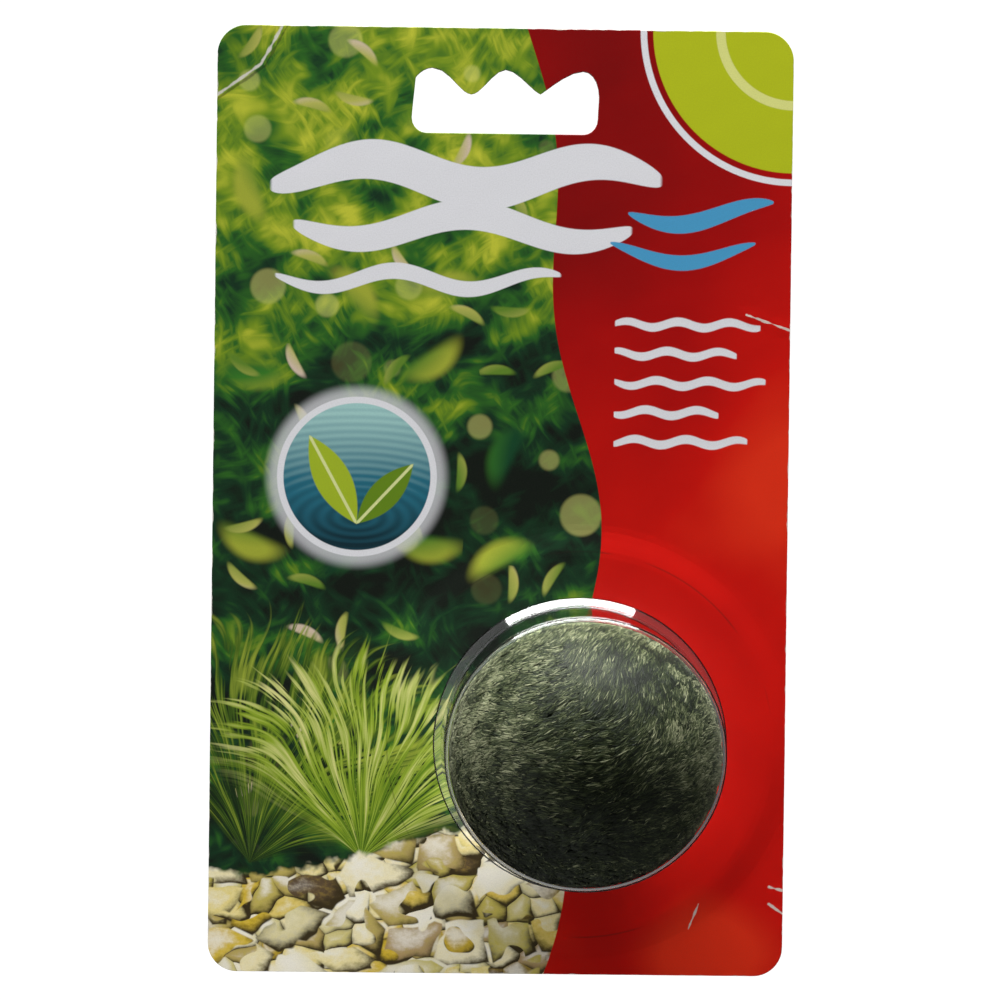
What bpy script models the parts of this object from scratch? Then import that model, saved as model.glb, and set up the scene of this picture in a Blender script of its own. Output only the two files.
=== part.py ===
"""Moss ball in a hanging blister pack, lying on its back. Units are metres.

The card is two die-cut sheets of board. A clear thermoformed collar comes through the front
sheet, with its flange trapped between the sheets. It holds the moss ball to a little above the
ball's middle, and the ball stands out through its open rim. Ball and rim are slightly oval.
+Z points out of the printed face, +Y up the card towards the hang hole and +X to the right
of the printed face. The origin is in the middle of the card's back face.
"""

import math

import bmesh
import bpy
from mathutils import Vector, noise
from mathutils.geometry import interpolate_bezier

CARD_WIDTH = 0.098
CARD_HEIGHT = 0.161
CARD_CORNER = 0.005
CORNER_STEPS = 8
SHEET = 0.00045
GLUE_GAP = 0.0001
CLEARANCE = 0.0003

COLLAR_X = 0.0140
COLLAR_Y = -0.0412
RIM_RADIUS = 0.0229
RIM_Z = 0.02865
WALL_TOP_RADIUS = 0.02343
WALL_TOP_Z = 0.02815
WALL_MIDDLE_RADIUS = 0.0235
WALL_LOW_Z = 0.0072
WALL_FOOT_RADIUS = 0.0238
WALL_FOOT_Z = 0.00195
COLLAR_FOOT_RADIUS = 0.02505
FLANGE_RADIUS = 0.0320
SHELL = 0.00035
COLLAR_STEPS = 64
OVAL = 0.028

PRESSED_FLAT_RADIUS = 0.0323
PRESSED_FOOT_RADIUS = 0.0340
PRESSED_STEPS = 64

BALL_RADII = Vector((0.02305, 0.0224, 0.0229))
BALL_AROUND = 60
BALL_RINGS = 30
PILE_RELIEF = 0.0004
LOCK_WIDTH = 0.0055
LOCK_STRETCH = 2.2
NAP = Vector((0.75, 0.62, 0.2)).normalized()

FLANGE_BOTTOM = SHEET + GLUE_GAP
FLANGE_TOP = FLANGE_BOTTOM + SHELL
FRONT_FACE = SHEET + GLUE_GAP + SHEET
PRESSED_FACE = FLANGE_TOP + GLUE_GAP + SHEET
COLLAR_HOLE_RADIUS = COLLAR_FOOT_RADIUS + CLEARANCE
BALL_CENTRE_Z = SHEET + CLEARANCE + BALL_RADII.z

# The hang hole's outline, clockwise from its left lobe: each corner of the curve is a point
# across the card and down from its top edge, with its two handles. Three lobes point up,
# and two tongues of card hang down between them.
HANG_HOLE = (
    ((-0.01250, 0.00685), (-0.0012, 0.0), (0.0029, 0.0)),
    ((-0.00580, 0.01130), (-0.0019, 0.0), (0.0017, 0.0)),
    ((0.00000, 0.00705), (-0.0020, 0.0), (0.0020, 0.0)),
    ((0.00595, 0.01115), (-0.0013, -0.0004), (0.0009, -0.0005)),
    ((0.01320, 0.00720), (-0.0026, 0.0), (0.0016, 0.0)),
    ((0.01590, 0.01150), (0.0, -0.0023), (0.0, 0.0012)),
    ((0.01575, 0.01520), (0.0, -0.0012), (0.0, 0.0015)),
    ((0.01320, 0.01790), (0.0015, 0.0), (-0.0080, 0.0)),
    ((-0.01325, 0.01790), (0.0080, 0.0), (-0.0015, 0.0)),
    ((-0.01590, 0.01530), (0.0, 0.0015), (0.0001, -0.0020)),
    ((-0.01530, 0.00855), (-0.0001, 0.0015), (0.0003, -0.0006)),
)
HANG_HOLE_STEPS = 5


def material(name, colour, roughness, transmission=0.0):
    made = bpy.data.materials.new(name)
    made.use_nodes = True
    shader = made.node_tree.nodes["Principled BSDF"]
    shader.inputs["Base Color"].default_value = (*colour, 1.0)
    shader.inputs["Roughness"].default_value = roughness
    shader.inputs["Metallic"].default_value = 0.0
    shader.inputs["Transmission Weight"].default_value = transmission
    return made


def add_object(name, data, finish, location=(0.0, 0.0, 0.0)):
    made = bpy.data.objects.new(name, data)
    made.location = location
    data.materials.append(finish)
    pack.objects.link(made)
    return made


def card_outline():
    """The card's rounded rectangle, anticlockwise, as points in its plane."""
    points = []
    for quarter in range(4):
        side_x = 1 if quarter in (0, 3) else -1
        side_y = 1 if quarter in (0, 1) else -1
        centre_x = side_x * (CARD_WIDTH / 2 - CARD_CORNER)
        centre_y = side_y * (CARD_HEIGHT / 2 - CARD_CORNER)
        for step in range(CORNER_STEPS + 1):
            turn = math.radians(90) * (quarter + step / CORNER_STEPS)
            x = centre_x + CARD_CORNER * math.cos(turn)
            y = centre_y + CARD_CORNER * math.sin(turn)
            points.append((x, y))
    return points


def hang_hole_outline():
    """The hang hole's smooth closed outline, one Bezier stretch between each two corners."""
    points = []
    for corner, following in zip(HANG_HOLE, HANG_HOLE[1:] + HANG_HOLE[:1]):
        start = Vector(corner[0])
        end = Vector(following[0])
        stretch = interpolate_bezier(
            start, start + Vector(corner[2]), end + Vector(following[1]), end, HANG_HOLE_STEPS + 1
        )
        points += [(point.x, CARD_HEIGHT / 2 - point.y) for point in stretch[:-1]]
    return points


def circle(radius, steps):
    turns = [2 * math.pi * step / steps for step in range(steps)]
    return [
        (COLLAR_X + radius * math.cos(turn), COLLAR_Y + radius * math.sin(turn)) for turn in turns
    ]


def make_back_sheet(finish):
    """The flat back sheet: the card's outline and hang hole, extruded by half its thickness."""
    flat = bpy.data.curves.new("card_back", "CURVE")
    flat.dimensions = "2D"
    flat.fill_mode = "BOTH"
    flat.extrude = SHEET / 2
    for outline in (card_outline(), hang_hole_outline()):
        spline = flat.splines.new("POLY")
        spline.points.add(len(outline) - 1)
        for point, (x, y) in zip(spline.points, outline):
            point.co = (x, y, 0.0, 1.0)
        spline.use_cyclic_u = True
    return add_object("card_back", flat, finish, (0.0, 0.0, SHEET / 2))


def closed_loop(bm, outline, height):
    points = [bm.verts.new((x, y, height)) for x, y in outline]
    return [bm.edges.new((a, b)) for a, b in zip(points, points[1:] + points[:1])]


def make_front_sheet(finish):
    """The front sheet: its printed face, pressed up over the flange, made thick downwards."""
    bm = bmesh.new()
    loops = closed_loop(bm, card_outline(), FRONT_FACE)
    loops += closed_loop(bm, hang_hole_outline(), FRONT_FACE)
    edge = closed_loop(bm, circle(PRESSED_FOOT_RADIUS, PRESSED_STEPS), FRONT_FACE)
    bmesh.ops.triangle_fill(bm, use_beauty=True, edges=loops + edge, normal=(0, 0, 1))
    collar_axis = Vector((COLLAR_X, COLLAR_Y))
    for radius in (PRESSED_FLAT_RADIUS, COLLAR_HOLE_RADIUS):
        grown = bmesh.ops.extrude_edge_only(bm, edges=edge)["geom"]
        edge = [part for part in grown if isinstance(part, bmesh.types.BMEdge)]
        for point in {point for line in edge for point in line.verts}:
            inward = collar_axis + (point.co.xy - collar_axis).normalized() * radius
            point.co = (inward.x, inward.y, PRESSED_FACE)
    bmesh.ops.recalc_face_normals(bm, faces=bm.faces)
    if sum(face.normal.z for face in bm.faces) < 0:
        bmesh.ops.reverse_faces(bm, faces=bm.faces)
    sheet = bpy.data.meshes.new("card_front")
    bm.to_mesh(sheet)
    bm.free()
    made = add_object("card_front", sheet, finish)
    board = made.modifiers.new("board", "SOLIDIFY")
    board.thickness = SHEET
    board.offset = -1
    return made


def collar_profile():
    """The collar's outer side: from its rim down the chamfer, wall and flare to the flange."""
    return (
        (RIM_RADIUS, RIM_Z),
        (WALL_TOP_RADIUS, WALL_TOP_Z),
        (WALL_MIDDLE_RADIUS, BALL_CENTRE_Z),
        (WALL_FOOT_RADIUS, WALL_LOW_Z),
        (WALL_FOOT_RADIUS, WALL_FOOT_Z),
        (COLLAR_FOOT_RADIUS, FLANGE_TOP),
        (FLANGE_RADIUS, FLANGE_TOP),
    )


def make_blister(finish):
    """The clear collar and its flange: the profile turned, and its wall narrowed along Y."""
    profile = collar_profile()
    count = len(profile)
    points = []
    faces = []
    for step in range(COLLAR_STEPS):
        turn = 2 * math.pi * step / COLLAR_STEPS
        for radius, height in profile:
            risen = (height - WALL_LOW_Z) / (BALL_CENTRE_Z - WALL_LOW_Z)
            oval = 1 - OVAL * min(1.0, max(0.0, risen))
            points.append((radius * math.cos(turn), radius * math.sin(turn) * oval, height))
        near = count * step
        far = count * ((step + 1) % COLLAR_STEPS)
        faces += [(near + i, near + i + 1, far + i + 1, far + i) for i in range(count - 1)]
    collar = bpy.data.meshes.new("blister")
    collar.from_pydata(points, [], faces)
    made = add_object("blister", collar, finish, (COLLAR_X, COLLAR_Y, 0.0))
    shell = made.modifiers.new("shell", "SOLIDIFY")
    shell.thickness = SHELL
    shell.offset = -1
    shell.use_even_offset = True
    return made


def make_ball(finish):
    """The moss ball: an oval ball at the pile's tips, let in a little between its combed locks."""
    bm = bmesh.new()
    bmesh.ops.create_uvsphere(bm, u_segments=BALL_AROUND, v_segments=BALL_RINGS, radius=1.0)
    for point in bm.verts:
        way = point.co.normalized()
        point.co = way * BALL_RADII
        squeezed = point.co - NAP * point.co.dot(NAP) * (1 - 1 / LOCK_STRETCH)
        point.co -= way * PILE_RELIEF * (0.5 + 0.5 * noise.noise(squeezed / LOCK_WIDTH))
    ball = bpy.data.meshes.new("moss_ball")
    bm.to_mesh(ball)
    bm.free()
    ball.shade_smooth()
    return add_object("moss_ball", ball, finish, (COLLAR_X, COLLAR_Y, BALL_CENTRE_Z))


for leftover in list(bpy.data.objects):
    bpy.data.objects.remove(leftover)

pack = bpy.data.collections.new("moss_ball_pack")
bpy.context.scene.collection.children.link(pack)

make_back_sheet(material("board", (0.62, 0.60, 0.56), 0.8))
make_front_sheet(material("printed_board", (0.45, 0.06, 0.03), 0.3))
make_blister(material("clear_plastic", (0.95, 0.97, 0.96), 0.05, transmission=1.0))
make_ball(material("moss_pile", (0.09, 0.11, 0.07), 0.9))
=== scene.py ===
"""Moss ball in a hanging blister pack, lying on its back: the looks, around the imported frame.

The camera looks down on the pack, and a large soft light stands beyond the card's top end.
Places are in metres in the CAD frame: +Z out of the printed face, +Y up the card to the hang
hole, +X to the right. Printed patterns are laid out in millimetres from the card's middle.
"""

import math

import bpy
import numpy as np
from mathutils import Matrix, Vector
from mathutils.geometry import delaunay_2d_cdt, interpolate_bezier


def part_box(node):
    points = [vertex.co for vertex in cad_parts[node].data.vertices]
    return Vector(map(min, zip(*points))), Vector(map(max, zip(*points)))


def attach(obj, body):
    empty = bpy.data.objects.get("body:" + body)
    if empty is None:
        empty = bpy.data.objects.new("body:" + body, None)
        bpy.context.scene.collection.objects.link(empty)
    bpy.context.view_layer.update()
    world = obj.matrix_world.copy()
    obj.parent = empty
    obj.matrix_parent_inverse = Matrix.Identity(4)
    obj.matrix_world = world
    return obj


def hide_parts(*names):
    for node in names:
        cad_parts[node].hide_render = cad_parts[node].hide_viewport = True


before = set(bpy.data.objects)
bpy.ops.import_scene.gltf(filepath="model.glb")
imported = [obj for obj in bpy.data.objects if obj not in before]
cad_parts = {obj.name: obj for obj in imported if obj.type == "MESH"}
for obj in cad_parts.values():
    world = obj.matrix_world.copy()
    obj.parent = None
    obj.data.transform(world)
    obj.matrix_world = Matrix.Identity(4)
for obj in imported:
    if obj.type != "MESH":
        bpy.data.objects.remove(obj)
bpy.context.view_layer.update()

MM = 0.001

# The pack, read from the frame
_, card_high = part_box("card_back")
flange_low, flange_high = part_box("blister")
COLLAR_AXIS = ((flange_low + flange_high) / 2).xy
FLANGE_RADIUS = (flange_high.x - flange_low.x) / 2

# The clear collar, as its solid is made: the corners of its outer side, from rim to flange
SHELL = 0.00035
FLANGE_TOP = flange_low.z + SHELL
COLLAR_CORNERS = np.array(
    (
        (0.0229, 0.02865),
        (0.02343, 0.02815),
        (0.0235, 0.02365),
        (0.0238, 0.0072),
        (0.02372, 0.00274),
        (0.02505, 0.00162),
        (0.02515, FLANGE_TOP),
        (FLANGE_RADIUS, FLANGE_TOP),
    )
)
OVAL = 0.028
OVAL_FROM = 0.0072
OVAL_TO = 0.02365
COLLAR_TURNS = 288
COLLAR_STEP = 0.00010
COLLAR_SOFTNESS = 0.7
MOULD_RIPPLE = 0.00002

# The ball, as its solid is made
BALL_RADII = np.array((0.02305, 0.0224, 0.0229))
BALL_MIDDLE = np.array((*COLLAR_AXIS, 0.02365))

# The front sheet, with the cut lines of its solid
SHEET = 0.00045
FRONT_FACE = 0.00100
CARD_CORNER = 0.005
COLLAR_HOLE_RADIUS = 0.0250
PRESSED_RISE = 0.00045
PRESSED_FLAT_RADIUS = 0.0320
PRESSED_FOOT_RADIUS = 0.0375
EDGE_ROUND = 0.00007
CARD_GRID = 0.0018
FLANGE_RINGS = np.arange(0.0266, 0.0385, 0.0011)
FLANGE_RINGS_END = 0.0392
HOLE_MARGIN = 0.0007
HANG_HOLE = (
    ((-0.01250, 0.00685), (-0.0012, 0.0), (0.0029, 0.0)),
    ((-0.00580, 0.01130), (-0.0019, 0.0), (0.0017, 0.0)),
    ((0.00000, 0.00705), (-0.0020, 0.0), (0.0020, 0.0)),
    ((0.00595, 0.01115), (-0.0013, -0.0004), (0.0009, -0.0005)),
    ((0.01320, 0.00720), (-0.0026, 0.0), (0.0016, 0.0)),
    ((0.01590, 0.01150), (0.0, -0.0023), (0.0, 0.0012)),
    ((0.01575, 0.01520), (0.0, -0.0012), (0.0, 0.0015)),
    ((0.01320, 0.01790), (0.0015, 0.0), (-0.0080, 0.0)),
    ((-0.01325, 0.01790), (0.0080, 0.0), (-0.0015, 0.0)),
    ((-0.01590, 0.01530), (0.0, 0.0015), (0.0001, -0.0020)),
    ((-0.01530, 0.00855), (-0.0001, 0.0015), (0.0003, -0.0006)),
)

# The pile: tufts of blades, combed flat along the nap
PILE_PARTS = 5
TUFTS_A_PART = 2160
BLADES_A_TUFT = 15
TUFT_SPREAD = 0.00050
TUFT_GATHER = 0.32
BLADE_LENGTH = 0.0031
BLADE_WIDTH = 0.00030
BLADE_HEIGHT = 0.00014
ROOT_DEPTH = 0.0010
BEND_DEPTH = 0.00014
TIP_DEPTH = -0.0001
LEAN_SPREAD = 0.45
TINTS = 32

# Places on the ball, as the x and y of a direction and how far round it they reach
SWIRL = (0.5, 0.6, 0.12)
PARTING = (0.72, 0.3, 0.06)

# The camera, the light and the ground
CAMERA_DISTANCE = 0.90
CAMERA_LENS = 190.2
CAMERA_YAW = math.radians(1.2)
CAMERA_PITCH = math.radians(1.1)
CAMERA_ROLL = math.radians(0.70)
CAMERA_TARGET = Vector((-0.0001, 0.0003, card_high.z))
LIGHT_WIDTH = 1.42
LIGHT_HEIGHT = 0.44
LIGHT_POWER = 55
LIGHT_DISTANCE = 1.3
LIGHT_RISE = math.radians(10)
FLOOR_REACH = 3.0
FLOOR_DROP = 0.0001

# How bright the room is at each height of a direction, from straight down to straight up
ROOM = (
    (-1.0, 0.15),
    (-0.02, 0.28),
    (0.03, 0.9),
    (0.09, 0.5),
    (0.28, 0.45),
    (0.36, 1.7),
    (0.46, 1.5),
    (0.56, 0.22),
    (0.75, 0.06),
    (1.0, 0.03),
)
ROOM_RIGHT = 0.4
ROOM_LEFT = 1.5

seed = np.random.default_rng(21)


def linear(red, green, blue):
    """A screen colour of 0 to 255 as Blender's linear colour."""
    shares = np.array((red, green, blue)) / 255
    values = np.where(shares <= 0.04045, shares / 12.92, ((shares + 0.055) / 1.055) ** 2.4)
    return (*(float(value) for value in values), 1.0)


def add_piece(name, points, faces, finish, smooth=True):
    """A mesh object at the origin, with its place in its mesh."""
    mesh = bpy.data.meshes.new(name)
    mesh.from_pydata(points, [], faces)
    mesh.polygons.foreach_set("use_smooth", np.full(len(mesh.polygons), smooth))
    mesh.materials.append(finish)
    piece = bpy.data.objects.new(name, mesh)
    bpy.context.scene.collection.objects.link(piece)
    return piece


class Amount:
    """A number that varies over a surface: a node's output. Arithmetic on it adds Math nodes."""

    def __init__(self, paint, socket):
        self.paint = paint
        self.socket = socket

    def maths(self, operation, *others):
        node = self.paint.node("ShaderNodeMath", operation=operation)
        for socket, value in zip(node.inputs, (self, *others)):
            self.paint.feed(socket, value)
        return Amount(self.paint, node.outputs["Value"])

    def __add__(self, other):
        return self.maths("ADD", other)

    def __sub__(self, other):
        return self.maths("SUBTRACT", other)

    def __mul__(self, other):
        return self.maths("MULTIPLY", other)

    def __truediv__(self, other):
        return self.maths("DIVIDE", other)

    def __abs__(self):
        return self.maths("ABSOLUTE")

    def sine(self):
        return self.maths("SINE")

    def cosine(self):
        return self.maths("COSINE")

    def power(self, exponent):
        return self.maths("POWER", exponent)

    def least(self, other):
        return self.maths("MINIMUM", other)

    def most(self, other):
        return self.maths("MAXIMUM", other)

    def rise(self, start, end):
        """0 up to start and 1 from end on, turning smoothly between; it falls if end is less."""
        node = self.paint.node("ShaderNodeMapRange", interpolation_type="SMOOTHSTEP")
        self.paint.feed(node.inputs["Value"], self)
        self.paint.feed(node.inputs["From Min"], start)
        self.paint.feed(node.inputs["From Max"], end)
        return Amount(self.paint, node.outputs["Result"])


class Paint:
    """A material and its nodes. x, y and z are its piece's own coordinates in millimetres."""

    def __init__(self, name, roughness):
        self.material = bpy.data.materials.new(name)
        self.material.use_nodes = True
        self.tree = self.material.node_tree
        self.shader = self.tree.nodes["Principled BSDF"]
        self.shader.inputs["Roughness"].default_value = roughness
        self.place = self.node("ShaderNodeTexCoord")
        self.x, self.y, self.z = (part / MM for part in self.parts(self.place.outputs["Object"]))

    def node(self, kind, **settings):
        made = self.tree.nodes.new(kind)
        for name, value in settings.items():
            setattr(made, name, value)
        return made

    def feed(self, socket, value):
        if isinstance(value, Amount):
            value = value.socket
        if isinstance(value, bpy.types.NodeSocket):
            self.tree.links.new(value, socket)
        else:
            socket.default_value = value

    def point(self, u, v, w=0.0):
        node = self.node("ShaderNodeCombineXYZ")
        for socket, value in zip(node.inputs, (u, v, w)):
            self.feed(socket, value)
        return node.outputs["Vector"]

    def noise(self, u, v, w=0.0, detail=2.0, roughness=0.5, distortion=0.0):
        """Smooth noise from 0 to 1, its lumps about one unit of u, v and w across."""
        node = self.node("ShaderNodeTexNoise")
        self.feed(node.inputs["Vector"], self.point(u, v, w))
        node.inputs["Scale"].default_value = 1.0
        node.inputs["Detail"].default_value = detail
        node.inputs["Roughness"].default_value = roughness
        node.inputs["Distortion"].default_value = distortion
        return Amount(self, node.outputs["Fac"])

    def parts(self, vector):
        """The three numbers of a vector or colour."""
        node = self.node("ShaderNodeSeparateXYZ")
        self.feed(node.inputs["Vector"], vector)
        return [Amount(self, output) for output in node.outputs]

    def length(self, u, v):
        return (u * u + v * v).power(0.5)

    def cells(self, u, v, feature="F1", randomness=1.0):
        """A Voronoi node over points scattered about one unit apart."""
        node = self.node("ShaderNodeTexVoronoi", voronoi_dimensions="2D", feature=feature)
        self.feed(node.inputs["Vector"], self.point(u, v))
        node.inputs["Scale"].default_value = 1.0
        node.inputs["Randomness"].default_value = randomness
        return node

    def scattered(self, u, v, randomness=0.75):
        """The offset from the nearest scattered point, and its three random numbers."""
        node = self.cells(u, v, randomness=randomness)
        near_u, near_v, _ = self.parts(node.outputs["Position"])
        return u - near_u, v - near_v, self.parts(node.outputs["Color"])

    def mix(self, share, below, above):
        node = self.node("ShaderNodeMix", data_type="RGBA")
        self.feed(node.inputs["Factor"], share)
        self.feed(node.inputs[6], below)
        self.feed(node.inputs[7], above)
        return node.outputs[2]

    def ramp(self, amount, *stops):
        """A colour for each amount, from stops of (amount, colour)."""
        node = self.node("ShaderNodeValToRGB")
        self.feed(node.inputs["Fac"], amount)
        elements = node.color_ramp.elements
        while len(elements) < len(stops):
            elements.new(1.0)
        for element, (place, colour) in zip(elements, stops):
            element.position = place
            element.color = colour
        return node.outputs["Color"]

    def bump(self, height, strength, depth):
        """Turns the surface's normals as a height from 0 to 1 over depth metres would."""
        node = self.node("ShaderNodeBump")
        node.inputs["Strength"].default_value = strength
        node.inputs["Distance"].default_value = depth
        self.feed(node.inputs["Height"], height)
        self.feed(self.shader.inputs["Normal"], node.outputs["Normal"])


def clear_plastic():
    """Thin clear film: plain glass-like transmission, with a faint haze."""
    paint = Paint("clear_plastic", 0.03)
    paint.shader.inputs["Base Color"].default_value = (0.985, 0.99, 0.99, 1.0)
    paint.shader.inputs["Transmission Weight"].default_value = 1.0
    paint.shader.inputs["IOR"].default_value = 1.5
    haze = paint.noise(paint.x / 9, paint.y / 9, paint.z / 9, detail=3.0)
    paint.feed(paint.shader.inputs["Roughness"], haze * 0.03 + 0.015)
    return paint.material


def pile_material():
    """Blades of grey-green fibre, with painted shade at the roots. The UV map's u picks a blade's tint,
    which carries painted light and shade, and v runs from root to tip.
    """
    paint = Paint("moss_pile", 0.55)
    along = paint.node("ShaderNodeSeparateXYZ")
    paint.feed(along.inputs["Vector"], paint.node("ShaderNodeUVMap", uv_map="OFBake").outputs["UV"])
    tint = Amount(paint, along.outputs["X"])
    height = Amount(paint, along.outputs["Y"])
    body = paint.ramp(
        tint,
        (0.0, (0.0036, 0.0066, 0.0018, 1.0)),
        (0.25, (0.0108, 0.0176, 0.0050, 1.0)),
        (0.5, (0.0335, 0.0470, 0.0160, 1.0)),
        (0.75, (0.1020, 0.1210, 0.0530, 1.0)),
        (1.0, (0.2950, 0.3100, 0.1800, 1.0)),
    )
    # Painted shade: each blade darkens towards its root, standing for the shade down between the blades
    root = paint.mix(height.rise(0.1, 0.85), (0.010, 0.016, 0.008, 1.0), body)
    paint.feed(paint.shader.inputs["Base Color"], root)
    paint.shader.inputs["Specular IOR Level"].default_value = 0.2
    paint.shader.inputs["Sheen Weight"].default_value = 0.06
    paint.shader.inputs["Sheen Roughness"].default_value = 0.5
    return paint.material


def ground_material():
    """The matted ball under the pile."""
    paint = Paint("matted_moss", 0.95)
    felt = paint.noise(paint.x / 0.5, paint.y / 0.5, paint.z / 0.5, detail=4.0, roughness=0.7)
    colour = paint.ramp(
        felt, (0.3, (0.006, 0.010, 0.005, 1.0)), (0.7, (0.030, 0.042, 0.020, 1.0))
    )
    paint.feed(paint.shader.inputs["Base Color"], colour)
    paint.bump(felt, 0.6, 0.0003)
    return paint.material


def soft_leaves(paint, colour, size, shift, slim, soft, share, tones):
    """Adds leaves to a colour: one slim ellipse round each scattered point, turned at random."""
    u = (paint.x + shift) / size
    v = (paint.y - shift) / size
    across, up, (spin, pick, tone) = paint.scattered(u, v, 0.5)
    turn = spin * 6.28
    along = across * turn.cosine() + up * turn.sine()
    aside = up * turn.cosine() - across * turn.sine() + along * along * 0.5
    reach = paint.length(along / 0.33, aside / (slim * 0.33))
    leaf = reach.rise(1.0 + soft, 1.0 - soft) * pick.rise(1.0 - share, 1.04 - share)
    shaded = tone + aside * 1.6 - along * 0.5
    return paint.mix(leaf, colour, paint.ramp(shaded, *tones))


def soft_lights(paint, colour, size, shift, strength, tint):
    """Adds round pale lights far out of focus, of mixed sizes."""
    across, up, (size_pick, _, pick) = paint.scattered(
        (paint.x - shift) / size, (paint.y + shift) / size, 0.6
    )
    radius = size_pick * 0.2 + 0.1
    disc = (paint.length(across, up) - radius).rise(0.03, -0.03) * pick.rise(0.35, 0.9)
    return paint.mix(disc * strength, colour, tint)


def garden_colour(paint):
    """A soft-focus water garden: blurred greens, brighter upwards, with leaves out of focus.

    The fronds are noise stretched along two slants that a broader noise bends.
    """
    x, y = paint.x, paint.y
    bend = (paint.noise(x / 16, y / 18, 2.0, detail=1.0) - 0.5) * 14
    depth = paint.noise(x / 12, y / 10, 5.0, roughness=0.55)
    rising = paint.noise((x * 0.8 + y * 0.45 + bend) / 1.5, (y - x * 0.4) / 8, 7.0, detail=2.0)
    falling = paint.noise((x * 0.55 - y * 0.8 + bend) / 1.7, (y + x) / 9, 17.0, detail=2.0)
    fronds = rising.most(falling)
    light = y.rise(-35.0, 75.0)
    shade = paint.length((x + 2.0) / 24.0, (y - 3.0) / 26.0).rise(1.2, 0.2)
    tone = depth * 1.05 + fronds * 0.5 + light * 0.26 - shade * 0.14 - 0.47
    colour = paint.ramp(
        tone,
        (0.22, linear(14, 22, 16)),
        (0.36, linear(18, 52, 30)),
        (0.48, linear(44, 98, 32)),
        (0.60, linear(112, 142, 30)),
        (0.76, linear(188, 192, 56)),
    )
    colour = soft_leaves(
        paint, colour, 15.0, 31.0, 0.42, 0.45, 0.5,
        ((0.0, linear(16, 66, 38)), (0.5, linear(54, 116, 36)), (1.0, linear(158, 166, 54))),
    )
    colour = soft_lights(paint, colour, 13.0, 7.0, 0.3, linear(226, 224, 130))
    return soft_leaves(
        paint, colour, 9.0, 73.0, 0.28, 0.25, 0.36,
        ((0.0, linear(92, 128, 40)), (0.6, linear(176, 176, 86)), (1.0, linear(206, 186, 166))),
    )


def grass_fan(paint, colour, root_x, root_y, reach, lean, phase, tones):
    """Adds a tuft of water grass: fine strands that spread upwards from a root and bow outwards.

    A strand is noise that is narrow across the angle from the root and long along the way out.
    """
    x = paint.x - root_x
    y = paint.y - root_y
    out = paint.length(x, y)
    angle = x.maths("ARCTAN2", y)
    bowed = angle * (out / -110.0 + 1.0)
    sway = (paint.noise(bowed * 4.0, out / 16, phase, detail=0.0) - 0.5) * 0.16
    strand = paint.noise((bowed + sway) * 40.0, out / 13, phase + 3.0, roughness=0.62)
    clump = paint.noise((bowed + sway) * 9.0, out / 24, phase + 8.0, detail=1.0)
    tip = paint.noise((bowed + sway) * 26.0, phase, 1.0, detail=1.0, roughness=0.8) * 0.9 + 0.5
    share = out / (tip * reach)
    inside = share.rise(1.05, 0.95) * abs(angle - lean).rise(1.2, 0.8)
    hair = (strand - share * 0.12).rise(0.34, 0.42)
    tone = strand * 1.3 + (clump - 0.5) * 0.9 + share * 0.25 - 0.22
    return paint.mix(inside * hair, colour, paint.ramp(tone, *tones))


DARK_GRASS = (
    (0.20, linear(10, 18, 14)),
    (0.44, linear(26, 50, 20)),
    (0.62, linear(72, 100, 26)),
    (0.88, linear(150, 164, 56)),
)
BRIGHT_GRASS = (
    (0.12, linear(24, 50, 14)),
    (0.36, linear(82, 118, 22)),
    (0.60, linear(142, 166, 44)),
    (0.92, linear(216, 214, 140)),
)
STONES = (
    (0.0, linear(96, 78, 56)),
    (0.18, linear(216, 184, 54)),
    (0.36, linear(236, 218, 136)),
    (0.6, linear(246, 238, 206)),
    (0.82, linear(200, 186, 88)),
    (1.0, linear(176, 148, 106)),
)


def stones(paint, size_u, size_v, phase):
    """A bed of rounded pebbles: its colour, each stone a pillow between a Voronoi cell's edges."""
    x, y = paint.x, paint.y
    wobble = (paint.noise(x / 5.0, y / 5.0, phase, detail=1.0) - 0.5) * 2.4
    u = (x + y * 0.3 + wobble + phase) / size_u
    v = (y - x * 0.2 - wobble) / size_v
    gap = Amount(paint, paint.cells(u, v, "DISTANCE_TO_EDGE", 0.85).outputs["Distance"])
    across, up, (tint, _, shade) = paint.scattered(u, v, 0.85)
    mottle = paint.noise(x / 1.2, y / 0.9, phase, roughness=0.65)
    pillow = (gap / 0.32).least(1.0).power(0.55)
    light = pillow * 0.9 + up * 0.9 - across * 0.3 + shade * 0.3 + (mottle - 0.5) * 0.5 - 0.04
    stone = paint.ramp(tint + (mottle - 0.5) * 0.15, *STONES)
    stone = paint.mix(light.rise(0.75, 0.0), stone, linear(58, 48, 26))
    return paint.mix(light.rise(0.75, 1.35) * 0.75, stone, linear(250, 246, 234)), gap


def gravel_colour(paint, colour):
    """Adds the bed of pebbles under a wavy line: small ones, with larger ones scattered on them."""
    x, y = paint.x, paint.y
    small, _ = stones(paint, 5.4, 4.2, 4.0)
    large, gap = stones(paint, 9.5, 7.0, 15.0)
    lying = (paint.noise(x / 7, y / 6, 21.0, detail=1.0) - 0.44).rise(0.0, 0.02) * gap.rise(0.02, 0.06)
    bed = paint.mix(lying, small, large)
    rough = paint.noise(x / 2.5, y / 2.5, 9.0)
    bank = (x / 12 + 1.6).sine() * 2.6 + x * 0.09 + rough * 4.0 - 59.5
    return paint.mix((y - bank).rise(0.7, -0.7), colour, bed)


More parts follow.
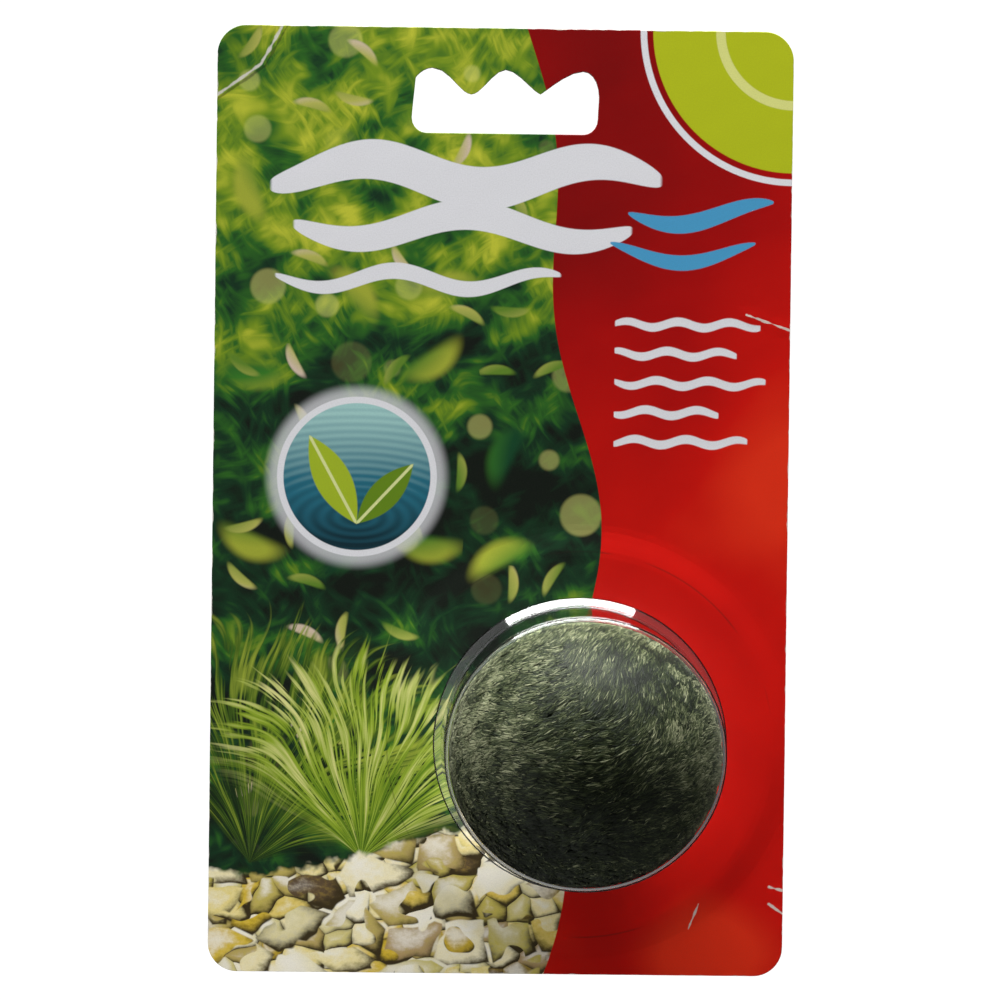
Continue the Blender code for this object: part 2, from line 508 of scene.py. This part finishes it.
def badge(paint, colour):
    """Adds a round picture: two leaves in front of rippled water, inside a white ring."""
    x = paint.x + 24.5
    y = paint.y - 4.0
    out = paint.length(x, y)
    ripples = (paint.length(x, (y + 7.0) * 2.1) * 2.4).sine()
    water = paint.ramp(
        y / 30 + ripples * 0.05 + 0.5,
        (0.1, linear(12, 44, 54)),
        (0.45, linear(36, 104, 124)),
        (0.9, linear(158, 200, 196)),
    )
    for turn, size, tint in ((0.75, 14.0, linear(98, 132, 26)), (-0.5, 17.0, linear(158, 178, 40))):
        along = x * math.sin(turn) + (y + 8.0) * math.cos(turn)
        aside = x * math.cos(turn) - (y + 8.0) * math.sin(turn)
        width = along * (along * -1.0 + size) / (size * 1.4)
        leaf = (abs(aside) - width).rise(0.15, -0.15)
        vein = abs(aside).rise(0.32, 0.18) * leaf
        water = paint.mix(leaf, water, tint)
        water = paint.mix(vein, water, linear(212, 218, 150))
    colour = paint.mix(out.rise(16.2, 13.9) * 0.6, colour, INK_WHITE)
    return paint.mix(out.rise(12.6, 12.4), paint.mix(out.rise(13.7, 13.5), colour, INK_WHITE), water)


def wave_mark(paint, x_from, x_to, middle, height, swing, pitch, thick):
    """A bold wave stroke along X: full in its middle and tapering to a point at both ends."""
    x = paint.x
    share = (x - x_from) / (x_to - x_from)
    swell = (share * (share * -1.0 + 1.0) * 4.0).most(0.0001).power(thick)
    centre = (x / pitch + middle).sine() * swing + middle
    stroke = (abs(paint.y - centre) - swell * height / 2).rise(0.12, -0.12)
    return stroke * share.rise(0.0, 0.01) * share.rise(1.0, 0.99)


def bold_waves(paint):
    """The two bold wave strokes that run over both sides of the print."""
    upper = wave_mark(paint, -40.0, 27.0, 55.6, 7.4, 2.4, 6.1, 0.35)
    return upper.most(wave_mark(paint, -36.0, 22.0, 46.6, 5.2, 2.2, 6.1, 0.35))


def crease(paint, start, end, width, wobble):
    """How near a point is to a line between two places, from 1 on it to 0 beyond the width."""
    run_x, run_y = end[0] - start[0], end[1] - start[1]
    along = math.hypot(run_x, run_y)
    x = paint.x - start[0]
    y = paint.y - start[1]
    share = ((x * run_x + y * run_y) / along**2).most(0.0).least(1.0)
    aside = paint.length(x - share * run_x, y - share * run_y)
    return (aside + wobble * 0.7 - 0.35).rise(width, width * 0.3)


INK_WHITE = linear(222, 222, 226)
BOARD = linear(212, 208, 198)


def red_colour(paint):
    """A red field: lighter in broad arcs and at two places by the edge, and deep near the hang hole."""
    x, y = paint.x, paint.y
    cloud = paint.noise(x / 24, y / 26, 12.0)
    arcs = ((paint.length(x - 66.0, y + 34.0) / 5.2).sine() * 0.5 + 0.5).rise(0.3, 0.7)
    deep = paint.length((x - 5.0) / 55.0, (y - 66.0) / 60.0).rise(1.25, 0.25)
    glow = paint.length((x - 36.0) / 14.0, (y + 77.0) / 11.0).rise(1.2, 0.1) * 0.36
    glow += paint.length((x - 48.0) / 13.0, (y - 4.0) / 28.0).rise(1.2, 0.1) * 0.22
    tone = cloud * 0.3 + arcs * 0.03 - deep * 0.42 + glow + 0.41
    return paint.ramp(
        tone,
        (0.1, linear(124, 0, 2)),
        (0.35, linear(162, 1, 2)),
        (0.6, linear(200, 12, 3)),
        (0.8, linear(224, 46, 18)),
    )


def garden_side(paint, face):
    """The print from the left edge to the red field's edge, how worn it is, and the painted shade
    beside its creases.
    """
    x, y = paint.x, paint.y
    garden = garden_colour(paint)
    garden = grass_fan(paint, garden, -42.0, -62.0, 42.0, 0.3, 3.0, DARK_GRASS)
    garden = grass_fan(paint, garden, -23.0, -61.0, 35.0, 0.1, 19.0, BRIGHT_GRASS)
    garden = badge(paint, gravel_colour(paint, garden))
    beyond = x - ((y + 12.0) / 36.0).cosine() * 6.0 - (y / 10.5 + 1.9).sine() * 2.4 - 9.0
    face = paint.mix(beyond.rise(0.08, -0.08), face, garden)
    mark = bold_waves(paint).most(wave_mark(paint, -39.0, 10.0, 37.6, 2.8, 1.5, 4.0, 0.4))
    face = paint.mix(mark, face, INK_WHITE)
    wobble = paint.noise(x / 1.6, y / 1.6, 20.0)
    worn = crease(paint, (-38.0, 80.4), (-41.6, 73.9), 0.34, wobble)
    worn = worn.most(crease(paint, (-41.6, 73.9), (-48.9, 68.6), 0.34, wobble))
    # Painted shade: a dark line beside each worn crease, where the fold shades the card
    pressed = crease(paint, (-37.2, 80.4), (-40.9, 73.6), 0.3, wobble)
    pressed = pressed.most(crease(paint, (-40.9, 73.6), (-48.9, 67.9), 0.3, wobble))
    return face, worn, pressed


def red_side(paint, face):
    """The print on the red field, and how worn it is. It has no painted crease shade."""
    x, y = paint.x, paint.y
    corner = paint.length(x - 49.0, y - 80.5)
    face = paint.mix(corner.rise(24.1, 23.9), face, linear(176, 186, 28))
    face = paint.mix((abs(corner - 25.6) - 0.55).rise(0.1, -0.1), face, INK_WHITE)
    face = paint.mix((abs(corner - 12.5) - 0.8).rise(0.1, -0.1), face, linear(214, 216, 130))
    mark = bold_waves(paint)
    for row, end in enumerate((44.0, 40.0, 45.0, 37.0, 42.0)):
        mark = mark.most(wave_mark(paint, 19.0, end, 30.5 - 5.0 * row, 1.5, 0.5, 1.4, 0.15))
    face = paint.mix(mark, face, INK_WHITE)
    swash = wave_mark(paint, 21.0, 46.0, 49.5, 3.2, 2.0, 5.3, 0.6)
    swash = swash.most(wave_mark(paint, 18.0, 43.0, 43.0, 2.6, 2.0, 5.3, 0.6))
    face = paint.mix(swash, face, linear(72, 152, 196))
    wobble = paint.noise(x / 1.6, y / 1.6, 20.0)
    worn = crease(paint, (41.5, 32.3), (49.0, 29.8), 0.22, wobble)
    worn = worn.most(crease(paint, (34.6, -68.2), (32.9, -72.5), 0.16, wobble))
    worn = worn.most(crease(paint, (46.6, -65.2), (49.0, -65.8), 0.30, wobble))
    return face, worn.most(crease(paint, (46.6, -68.1), (49.0, -69.8), 0.30, wobble)), None


def printed_material(name, side):
    """The printed face under a gloss varnish, with the print of one of its two sides.

    The card's rubbed edges, a painted shade line over the flange's edge, the painted crease shade and
    the paper's grain come on top.
    Faces that don't look up are bare board.
    """
    paint = Paint(name, 0.35)
    paint.shader.inputs["Specular IOR Level"].default_value = 0.25
    x, y = paint.x, paint.y
    face, worn, pressed = side(paint, red_colour(paint))
    rub = paint.noise(x / 4, y / 4, 30.0, roughness=0.7)
    edge = (abs(x) * -1.0 + 49.0).least(abs(y) * -1.0 + 80.5)
    worn = worn.most((edge - rub * 0.9 + 0.48).rise(0.12, 0.0))
    # Painted shade: a broken dark line round the flange's edge, as the pressed step would shade the
    # card
    flange = abs(paint.length(x - 14.0, y + 41.2) - 32.9).rise(0.2, 0.06)
    flange = flange * paint.noise(x / 12, y / 12, 41.0, detail=0.0).rise(0.42, 0.6) * 0.7
    pressed = flange if pressed is None else pressed.most(flange)
    grain = paint.noise(x / 0.22, y / 0.22, 1.0, detail=0.0)
    # The pressed masks are painted shade: they darken the print along the creases and the flange's edge
    face = paint.mix(pressed * 0.5, face, linear(30, 26, 20))
    face = paint.mix(worn * 0.85, face, BOARD)
    face = paint.mix((grain - 0.5) * 0.16 + 0.04, face, linear(70, 66, 60))

    printed = paint.parts(paint.place.outputs["Normal"])[2].rise(0.4, 0.6)
    pulp = paint.noise(x / 1.5, y / 1.5, paint.z / 0.1, roughness=0.7)
    bare = paint.ramp(pulp, (0.3, linear(186, 181, 170)), (0.7, linear(226, 222, 212)))
    paint.feed(paint.shader.inputs["Base Color"], paint.mix(printed, bare, face))
    paint.feed(paint.shader.inputs["Roughness"], printed * -0.48 + 0.85 + worn * 0.3)
    paint.bump(paint.noise(x / 7, y / 7, 1.0), 0.2, 0.0002)
    return paint.material


def floor_material():
    """The photograph's blank white ground, which is one even glow and takes no shadow."""
    paint = Paint("white_floor", 1.0)
    paint.shader.inputs["Base Color"].default_value = (0.0, 0.0, 0.0, 1.0)
    paint.shader.inputs["Specular IOR Level"].default_value = 0.0
    paint.shader.inputs["Emission Color"].default_value = (1.0, 1.0, 1.0, 1.0)
    paint.shader.inputs["Emission Strength"].default_value = 1.1
    return paint.material


def turned(profile, turns, axis):
    """Points and faces of a closed profile carried round an upright axis.

    profile holds (radius, height) points from the axis back to the axis; each point in between
    becomes a ring of turns points, point = axis + radius * (cos, sin) of its turn.
    """
    turn = np.linspace(0, 2 * math.pi, turns, endpoint=False)
    radius, height = profile[1:-1].T
    ring = np.stack(
        (
            axis[0] + np.outer(radius, np.cos(turn)),
            axis[1] + np.outer(radius, np.sin(turn)),
            np.repeat(height[:, None], turns, axis=1),
        ),
        axis=-1,
    )
    ends = np.array([(axis[0], axis[1], profile[0][1]), (axis[0], axis[1], profile[-1][1])])
    points = np.concatenate((ring.reshape(-1, 3), ends))
    index = np.arange(len(radius) * turns).reshape(-1, turns)
    after = np.roll(index, -1, axis=1)
    walls = np.stack((index[:-1], index[1:], after[1:], after[:-1]), axis=-1).reshape(-1, 4)
    first, last = len(points) - 2, len(points) - 1
    start = np.stack((np.full(turns, first), index[0], after[0]), axis=-1)
    end = np.stack((index[-1], np.full(turns, last), after[-1]), axis=-1)
    return points, walls.tolist() + start.tolist() + end.tolist()


def collar_section():
    """The collar's section, a closed loop of (radius, height).

    The straight runs between its corners are resampled evenly and smoothed by a bell curve,
    which rounds the corners. The inner side lies a shell's thickness inside.
    """
    radius, height = COLLAR_CORNERS.T
    run = np.concatenate(((0.0,), np.cumsum(np.hypot(np.diff(radius), np.diff(height)))))
    even = np.linspace(0, run[-1], round(run[-1] / COLLAR_STEP))
    outside = np.stack((np.interp(even, run, radius), np.interp(even, run, height)), axis=-1)
    bell = np.exp(-((np.arange(-8, 9) / COLLAR_SOFTNESS) ** 2) / 2)
    before = 2 * outside[0] - outside[8:0:-1]
    after = 2 * outside[-1] - outside[-2:-10:-1]
    padded = np.concatenate((before, outside, after))
    outside = np.stack(
        [np.convolve(column, bell / bell.sum(), mode="valid") for column in padded.T], axis=-1
    )
    way = np.gradient(outside, axis=0)
    way /= np.linalg.norm(way, axis=1, keepdims=True)
    inside = outside + SHELL * np.stack((way[:, 1], -way[:, 0]), axis=-1)
    turn = np.degrees(np.arccos(np.clip((way[1:] * way[:-1]).sum(axis=1), -1, 1)))
    keep = thinned(turn)
    return np.concatenate((outside[keep], inside[keep][::-1]))


def thinned(turn):
    """Which points of a run to keep: each bend's, and every sixteenth of a straight stretch."""
    bending = np.concatenate(((90.0,), turn)) > 0.1
    bending |= np.concatenate((turn, (90.0,))) > 0.1
    bending[::16] = True
    return bending


def make_collar(finish):
    """The section carried round the axis: point = axis + radius * (cos, oval * sin) of the turn.

    The oval share falls from 1 at the low wall as the solid's does. Warm-drawn film ripples
    slightly, so the wall goes in and out by a sum of two sines.
    """
    turn = np.linspace(0, 2 * math.pi, COLLAR_TURNS, endpoint=False)
    radius, height = collar_section().T
    wave = np.sin(3 * turn + 260 * height[:, None]) + 0.6 * np.sin(
        7 * turn - 410 * height[:, None] + 1.3
    )
    share = np.clip((height - 0.003) / 0.004, 0, 1)[:, None]
    radius = radius[:, None] + MOULD_RIPPLE * share * (wave / 1.6 - 1)
    oval = 1 - OVAL * np.clip((height - OVAL_FROM) / (OVAL_TO - OVAL_FROM), 0, 1)[:, None]
    points = np.stack(
        (
            COLLAR_AXIS.x + radius * np.cos(turn),
            COLLAR_AXIS.y + radius * np.sin(turn) * oval,
            np.broadcast_to(height[:, None], radius.shape),
        ),
        axis=-1,
    )
    index = np.arange(radius.size).reshape(radius.shape)
    below = np.roll(index, -1, axis=0)
    walls = np.stack(
        (index, below, np.roll(below, -1, axis=1), np.roll(index, -1, axis=1)), axis=-1
    )
    return add_piece("clear_collar", points.reshape(-1, 3), walls.reshape(-1, 4), finish)


def card_outline(inset):
    """The card's rounded rectangle, drawn in by inset, with points about 2 mm apart."""
    corner = CARD_CORNER - inset
    turn = np.radians(np.arange(0, 360, 5.0).reshape(4, 18))
    turn = np.concatenate((turn, turn[:, -1:] + math.radians(5)), axis=1)
    side = np.array([(1, 1), (-1, 1), (-1, -1), (1, -1)])
    middle = side * (np.array([card_high.x, card_high.y]) - CARD_CORNER)
    bend = middle[:, None] + corner * np.stack((np.cos(turn), np.sin(turn)), axis=-1)
    following = np.roll(bend[:, 0], -1, axis=0)
    loop = []
    for points, ahead in zip(bend, following):
        pieces = max(2, round(np.linalg.norm(ahead - points[-1]) / CARD_GRID))
        share = np.linspace(0, 1, pieces, endpoint=False)[1:, None]
        loop += [points, points[-1] + (ahead - points[-1]) * share]
    return np.concatenate(loop)


def hang_hole_outline(outset):
    """The hang hole's closed outline, a Bezier stretch between each two corners, let out by outset."""
    points = []
    for corner, following in zip(HANG_HOLE, HANG_HOLE[1:] + HANG_HOLE[:1]):
        start = Vector(corner[0])
        end = Vector(following[0])
        stretch = interpolate_bezier(
            start, start + Vector(corner[2]), end + Vector(following[1]), end, 10
        )
        points += [(point.x, card_high.y - point.y) for point in stretch[:-1]]
    points = np.array(points)
    way = np.roll(points, -1, axis=0) - np.roll(points, 1, axis=0)
    way /= np.linalg.norm(way, axis=1, keepdims=True)
    return points + outset * np.stack((-way[:, 1], way[:, 0]), axis=-1)


def ring(radius, turns):
    """A circle of points round the collar's axis."""
    turn = np.linspace(0, 2 * math.pi, turns, endpoint=False)
    return np.array(COLLAR_AXIS) + radius * np.stack((np.cos(turn), np.sin(turn)), axis=-1)


def smooth_step(values):
    """0 below 0 and 1 above 1, turning smoothly between: 3v^2 - 2v^3."""
    values = np.clip(values, 0, 1)
    return values * values * (3 - 2 * values)


def card_height(points):
    """The printed face's height: flat, pressed up over the flange, slightly wavy and creased.

    The press is a smooth step down with the distance from the collar's axis. A crease across
    the top left corner lifts what lies beyond it, and one at the right edge raises a ridge.
    """
    x, y = points.T / MM
    out = np.linalg.norm(points - np.array(COLLAR_AXIS), axis=1)
    pressed = smooth_step((PRESSED_FOOT_RADIUS - out) / (PRESSED_FOOT_RADIUS - PRESSED_FLAT_RADIUS))
    wavy = np.sin(x / 14 + y / 31 + 0.4) + 0.7 * np.sin(y / 17 - x / 40 + 1.1)
    beyond = ((-x - 37.6) * 0.74 + (y - 80.5) * 0.67).clip(0, None)
    ridge = np.exp(-(((y - 32.8) + (x - 39.5) * 0.31) / 0.7) ** 2) * smooth_step((x - 39.0) / 4)
    return FRONT_FACE + PRESSED_RISE * pressed + MM * (0.012 * wavy + 0.035 * beyond + 0.06 * ridge)


def inside_loop(points, loop):
    """Whether each point lies inside a closed loop: an odd number of its sides pass to the right."""
    x, y = points[:, None].transpose(2, 0, 1)
    start, end = loop, np.roll(loop, -1, axis=0)
    spans = (start[:, 1] > y) != (end[:, 1] > y)
    rise = np.where(end[:, 1] == start[:, 1], 1.0, end[:, 1] - start[:, 1])
    across = start[:, 0] + (y - start[:, 1]) * (end[:, 0] - start[:, 0]) / rise
    return (spans & (x < across)).sum(axis=1) % 2 == 1


def make_front_sheet(finish):
    """The front sheet: its outline and two holes, triangulated over an even grid of points.

    The outline turns left and the holes turn right, so walls drawn down from them face outwards.
    The same triangles, turned over, make the underside, and the upper row of quads round each
    loop slightly rounds the cut edge.
    """
    face_loops = (
        card_outline(EDGE_ROUND),
        hang_hole_outline(EDGE_ROUND),
        ring(COLLAR_HOLE_RADIUS + EDGE_ROUND, 192)[::-1],
    )
    edge_loops = (card_outline(0.0), hang_hole_outline(0.0), ring(COLLAR_HOLE_RADIUS, 192)[::-1])
    half_x, half_y = card_high.x, card_high.y
    grid = np.stack(
        np.meshgrid(
            np.arange(-half_x + CARD_GRID / 2, half_x, CARD_GRID),
            np.arange(-half_y + CARD_GRID / 2, half_y, CARD_GRID),
        ),
        axis=-1,
    ).reshape(-1, 2)
    out = np.linalg.norm(grid - np.array(COLLAR_AXIS), axis=1)
    rings = [ring(radius, 144) for radius in FLANGE_RINGS]
    grid = np.concatenate((grid[out > FLANGE_RINGS_END], *rings))
    roomy = inside_loop(grid, card_outline(CARD_GRID / 2))
    for loop in face_loops[1:]:
        roomy &= ~inside_loop(grid, loop)
    near = np.linalg.norm(grid[:, None] - face_loops[1], axis=2).min(axis=1) < HOLE_MARGIN
    grid = grid[roomy & ~near]
    flat = np.concatenate((*face_loops, grid))
    sides = []
    first = 0
    for loop in face_loops:
        index = first + np.arange(len(loop))
        sides += np.stack((index, np.roll(index, -1)), axis=-1).tolist()
        first += len(loop)
    points, _, triangles, _, _, _ = delaunay_2d_cdt(
        [Vector(point) for point in flat.tolist()], sides, [], 0, 1e-7
    )
    assert len(points) == len(flat)
    triangles = np.array(triangles)
    middles = flat[triangles].mean(axis=1)
    kept = inside_loop(middles, face_loops[0])
    for loop in face_loops[1:]:
        kept &= ~inside_loop(middles, loop)
    triangles = triangles[kept]
    one, two, three = flat[triangles].transpose(1, 0, 2)
    along, up = two - one, three - one
    facing = along[:, 0] * up[:, 1] - along[:, 1] * up[:, 0]
    triangles[facing < 0] = triangles[facing < 0][:, ::-1]

    edge = np.concatenate(edge_loops)
    count, edge_count = len(flat), len(edge)
    face_top = np.column_stack((flat, card_height(flat)))
    edge_top = np.column_stack((edge, card_height(edge) - EDGE_ROUND))
    edge_under = edge_top - (0, 0, SHEET - EDGE_ROUND)
    face_under = face_top - (0, 0, SHEET)
    points = np.concatenate((face_top, edge_top, edge_under, face_under))
    walls = []
    first = 0
    for loop in face_loops:
        index = first + np.arange(len(loop))
        after = np.roll(index, -1)
        for upper, lower in (
            (0, count),
            (count, count + edge_count),
            (count + edge_count, count + 2 * edge_count),
        ):
            quads = np.stack((index + upper, index + lower, after + lower, after + upper), axis=-1)
            walls.append(quads)
        first += len(loop)
    walls = np.concatenate(walls)
    underside = triangles[:, ::-1] + count + 2 * edge_count
    faces = triangles.tolist() + walls.tolist() + underside.tolist()
    return add_piece("printed_sheet", points, faces, finish, smooth=False)


def paint_red_side(sheet, finish):
    """Gives a second material to the faces that lie well inside the red field."""
    mesh = sheet.data
    mesh.materials.append(finish)
    middles = np.empty(3 * len(mesh.polygons))
    mesh.polygons.foreach_get("center", middles)
    x, y, _ = middles.reshape(-1, 3).T / MM
    edge = 6 * np.cos((y + 12) / 36) + 2.4 * np.sin(y / 10.5 + 1.9) + 9
    mesh.polygons.foreach_set("material_index", (x > edge + 2).astype(np.int32))


def even_directions(count):
    """Directions spread evenly over the ball: a spiral that turns by the golden angle."""
    step = np.arange(count) + 0.5
    height = 1 - 2 * step / count
    turn = step * math.pi * (3 - math.sqrt(5))
    ring = np.sqrt(1 - height**2)
    return np.stack((ring * np.cos(turn), ring * np.sin(turn), height), axis=-1)


def unit(vectors):
    """The same directions with a length of 1."""
    return vectors / np.linalg.norm(vectors, axis=-1, keepdims=True)


def soft_noise(points, size, waves=14):
    """Smooth noise of about -1 to 1 with lumps of this size: a sum of sines along random lines."""
    lines = unit(seed.normal(size=(waves, 3))) * seed.uniform(0.7, 1.4, (waves, 1)) * math.pi / size
    phases = seed.uniform(0, 2 * math.pi, waves)
    return np.sin(points @ lines.T + phases).sum(axis=-1) / math.sqrt(waves)


def nearness(directions, x, y, reach):
    """How near each direction is to a place on the ball: a bell, 1 at the place."""
    return np.exp(-((directions[..., 0] - x) ** 2 + (directions[..., 1] - y) ** 2) / reach)


def nap(directions, wander):
    """The way the pile lies at each direction from the ball's middle.

    It turns round a level axis, so it comes up over one side of the ball and down over the
    other. The axis swings with the place, and a swirl swings it further at the upper right.
    """
    x, y = directions[..., 0], directions[..., 1]
    swirl = nearness(directions, *SWIRL)
    angle = np.radians(25 + 45 * x + 20 * y + 50 * swirl + 16 * wander)
    axis = np.stack((-np.sin(angle), np.cos(angle), np.full_like(angle, -0.2)), axis=-1)
    return np.cross(axis, directions)


def step_on(directions, wander, length):
    """Where each direction comes after a length along the nap."""
    return unit(directions + nap(directions, wander) * length / BALL_RADII[0])


def blade_tints_with_painted_light(tufts, shape):
    """Each blade's tint from 0, dark, to 1, light.

    The ball's rim and its left and right sides are painted lighter, a painted sheen, and its upper side
    darker; the lower side and lower left are painted darker as painted shade, and the swirl is darker
    too. Soft noise gives lighter and darker locks, and each tuft and blade differs a little.
    """
    x, y, z = tufts.T
    swirl = nearness(tufts, *SWIRL)
    low = 1 - z.clip(0, 1) ** 2
    # Painted light and shade by place: lighter towards the rim, darker on the upper side, much darker
    # on the lower side
    tint = 0.385 + 0.38 * low - 0.22 * y.clip(0) + 0.55 * y.clip(-0.7, 0) - 0.32 * swirl
    # Painted shade: darker at the lower left
    tint -= 0.6 * x.clip(None, 0) * y.clip(None, 0)
    # Painted light: lighter to the left and right, with random tone for each tuft
    tint += 0.16 * x**2 + seed.normal(0, 0.10, len(tufts))
    tint += (0.07 + 0.27 * swirl + 0.09 * abs(x)) * soft_noise(tufts, 0.13)
    tint = tint[:, None] + seed.normal(0, 0.26, shape)
    return tint.clip(0.01, 0.99)


def make_pile_part(name, tufts, finish):
    """One share of the pile.

    Each tuft's guide runs along the nap from its root to its tip. A blade starts at a scattered
    place round the root and its offset shrinks towards the tip. It is a slender spindle: a root
    point, a triangle at the bend and a tip point. Its normals are the ball's, leaning out to
    its two edges, so that the pile is shaded as a soft whole.
    """
    count = len(tufts)
    wander = soft_noise(tufts, 0.35)
    lean = seed.normal(0, LEAN_SPREAD, count)
    length = BLADE_LENGTH * seed.uniform(0.8, 1.2, (count, 1))
    bends = step_on(tufts, wander + lean, length * 0.45)
    tips = step_on(bends, wander + lean, length * 0.55)
    shape = (count, BLADES_A_TUFT)
    scatter = seed.normal(0, TUFT_SPREAD / BALL_RADII[0], (*shape, 3))
    wide = unit(tufts[:, None] + scatter)
    bend = unit(bends[:, None] + scatter * 0.8 + seed.normal(0, 0.003, (*shape, 3)))
    tip = unit(tips[:, None] + scatter * TUFT_GATHER + seed.normal(0, 0.006, (*shape, 3)))
    lift = 0.5 + 0.5 * soft_noise(tufts, 0.09).clip(-1, 1)
    parting = nearness(tufts, *PARTING)
    sunk = (1 - lift[:, None]) * (0.00035 + 0.0004 * parting[:, None])
    bend_depth = BEND_DEPTH + sunk + seed.uniform(0, 0.0003, shape)
    tip_depth = TIP_DEPTH + sunk * 0.7 + seed.uniform(0, 0.0002, shape)
    roots = wide * (BALL_RADII - ROOT_DEPTH)
    bends = bend * (BALL_RADII - bend_depth[..., None])
    tips = tip * (BALL_RADII - tip_depth[..., None])
    side = unit(np.cross(tips - roots, bend))
    rise = unit(np.cross(side, tips - roots))
    half = side * BLADE_WIDTH / 2 * seed.uniform(0.7, 1.3, (*shape, 1))
    points = np.stack(
        (roots, bends + half, bends + rise * BLADE_HEIGHT, bends - half, tips), axis=2
    )
    points = points.reshape(-1, 3) + BALL_MIDDLE
    blade = np.array([(0, 1, 2), (0, 2, 3), (0, 3, 1), (4, 2, 1), (4, 3, 2), (4, 1, 3)])
    first = 5 * np.arange(count * BLADES_A_TUFT)
    faces = (first[:, None, None] + blade).reshape(-1, 3)
    piece = add_piece(name, points, faces, finish)
    out = unit(bend / BALL_RADII)
    rounded = np.stack((out, out + side * 0.9, out, out - side * 0.9, out), axis=2)
    normals = unit(rounded).reshape(-1, 3)
    piece.data.normals_split_custom_set_from_vertices(normals.tolist())
    tint = (blade_tints_with_painted_light(tufts, shape) * TINTS).astype(int).ravel()
    across = np.array([0.5, 0.1, 0.5, 0.9, 0.5])
    along = np.array([0.02, 0.5, 0.5, 0.5, 0.98])
    u = (tint[:, None] + across) / TINTS
    v = np.broadcast_to(along, u.shape)
    places = np.stack((u, v), axis=-1).reshape(-1, 2)[faces.ravel()]
    uv = piece.data.uv_layers.new(name="OFBake")
    uv.data.foreach_set("uv", places.astype(np.float32).ravel())
    return piece


def make_pile(finish):
    """The whole pile in equal shares, side by side round the ball's upright axis."""
    total = PILE_PARTS * TUFTS_A_PART
    tufts = unit(even_directions(total) + seed.normal(0, 0.012, (total, 3)))
    order = np.argsort(np.arctan2(tufts[:, 1], tufts[:, 0]))
    shares = np.array_split(tufts[order], PILE_PARTS)
    return [
        make_pile_part(f"moss_pile_{number}", share, finish)
        for number, share in enumerate(shares, start=1)
    ]


def make_ground(finish):
    """The matted ball under the pile: a sphere at the roots, a little lumpy."""
    half = np.radians(np.linspace(90, -90, 61))
    profile = np.stack((np.cos(half), np.sin(half)), axis=-1)
    points, faces = turned(profile, 120, (0.0, 0.0))
    points *= BALL_RADII - ROOT_DEPTH * 0.85
    points *= 1 + 0.006 * soft_noise(unit(points), 0.1)[:, None]
    return add_piece("moss_ground", points + BALL_MIDDLE, faces, finish)


def place_camera():
    """The camera over the card, leaning and turned a little as the photograph's is."""
    out = Vector((-math.sin(CAMERA_YAW), math.sin(CAMERA_PITCH), 1.0)).normalized()
    up = Vector((-math.sin(CAMERA_ROLL), math.cos(CAMERA_ROLL), 0.0))
    right = up.cross(out).normalized()
    camera = bpy.data.objects.new("camera", bpy.data.cameras.new("camera"))
    camera.data.lens = CAMERA_LENS
    camera.data.sensor_width = 36
    camera.matrix_world = Matrix((right, out.cross(right), out)).transposed().to_4x4()
    camera.location = CAMERA_TARGET + out * CAMERA_DISTANCE
    bpy.context.scene.collection.objects.link(camera)
    bpy.context.scene.camera = camera


def place_light():
    """A large soft light beyond the card's top end, low over the table, and a dim room.

    The room's brightness follows the height of a direction, and is greater to the left.
    """
    box = bpy.data.lights.new("softbox", "AREA")
    box.shape = "RECTANGLE"
    box.size = LIGHT_WIDTH
    box.size_y = LIGHT_HEIGHT
    box.energy = LIGHT_POWER
    light = bpy.data.objects.new("softbox", box)
    away = Vector((-0.05, math.cos(LIGHT_RISE), math.sin(LIGHT_RISE))) * LIGHT_DISTANCE
    light.location = away + Vector((0, 0, 0.02))
    light.rotation_euler = away.to_track_quat("Z", "Y").to_euler()
    bpy.context.scene.collection.objects.link(light)
    room = bpy.data.worlds.new("room")
    room.use_nodes = True
    tree = room.node_tree
    way = tree.nodes.new("ShaderNodeTexCoord")
    parts = tree.nodes.new("ShaderNodeSeparateXYZ")
    tree.links.new(way.outputs["Generated"], parts.inputs["Vector"])
    rise = tree.nodes.new("ShaderNodeMapRange")
    rise.inputs["From Min"].default_value = -1.0
    tree.links.new(parts.outputs["Z"], rise.inputs["Value"])
    walls = tree.nodes.new("ShaderNodeValToRGB")
    tree.links.new(rise.outputs["Result"], walls.inputs["Fac"])
    elements = walls.color_ramp.elements
    while len(elements) < len(ROOM):
        elements.new(1.0)
    for element, (height, brightness) in zip(elements, ROOM):
        element.position = height / 2 + 0.5
        element.color = (brightness, brightness, brightness, 1.0)
    tree.links.new(walls.outputs["Color"], tree.nodes["Background"].inputs["Color"])
    left = tree.nodes.new("ShaderNodeMapRange")
    left.inputs["From Min"].default_value = 1.0
    left.inputs["From Max"].default_value = -1.0
    left.inputs["To Min"].default_value = ROOM_RIGHT
    left.inputs["To Max"].default_value = ROOM_LEFT
    tree.links.new(parts.outputs["X"], left.inputs["Value"])
    tree.links.new(left.outputs["Result"], tree.nodes["Background"].inputs["Strength"])
    bpy.context.scene.world = room
    bpy.context.scene.view_settings.view_transform = "Standard"


def make_floor():
    """A wide ground just under the pack, seen by the camera only."""
    corners = [(-1, -1), (1, -1), (1, 1), (-1, 1)]
    points = [(x * FLOOR_REACH, y * FLOOR_REACH, -FLOOR_DROP) for x, y in corners]
    floor = add_piece("floor", points, [(0, 1, 2, 3)], floor_material())
    floor.visible_glossy = False
    floor.visible_transmission = False
    floor.visible_diffuse = False


place_camera()
place_light()
make_floor()

collar = make_collar(clear_plastic())
collar.visible_shadow = False
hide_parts("blister")
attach(collar, "root")

printed = printed_material("printed_board", garden_side)
sheet = make_front_sheet(printed)
paint_red_side(sheet, printed_material("printed_red", red_side))
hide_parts("card_front")
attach(sheet, "root")
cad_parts["card_back"].material_slots[0].material = printed

pile = make_pile(pile_material())
ground = make_ground(ground_material())
for piece in (*pile, ground):
    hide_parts("moss_ball")
    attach(piece, "root")
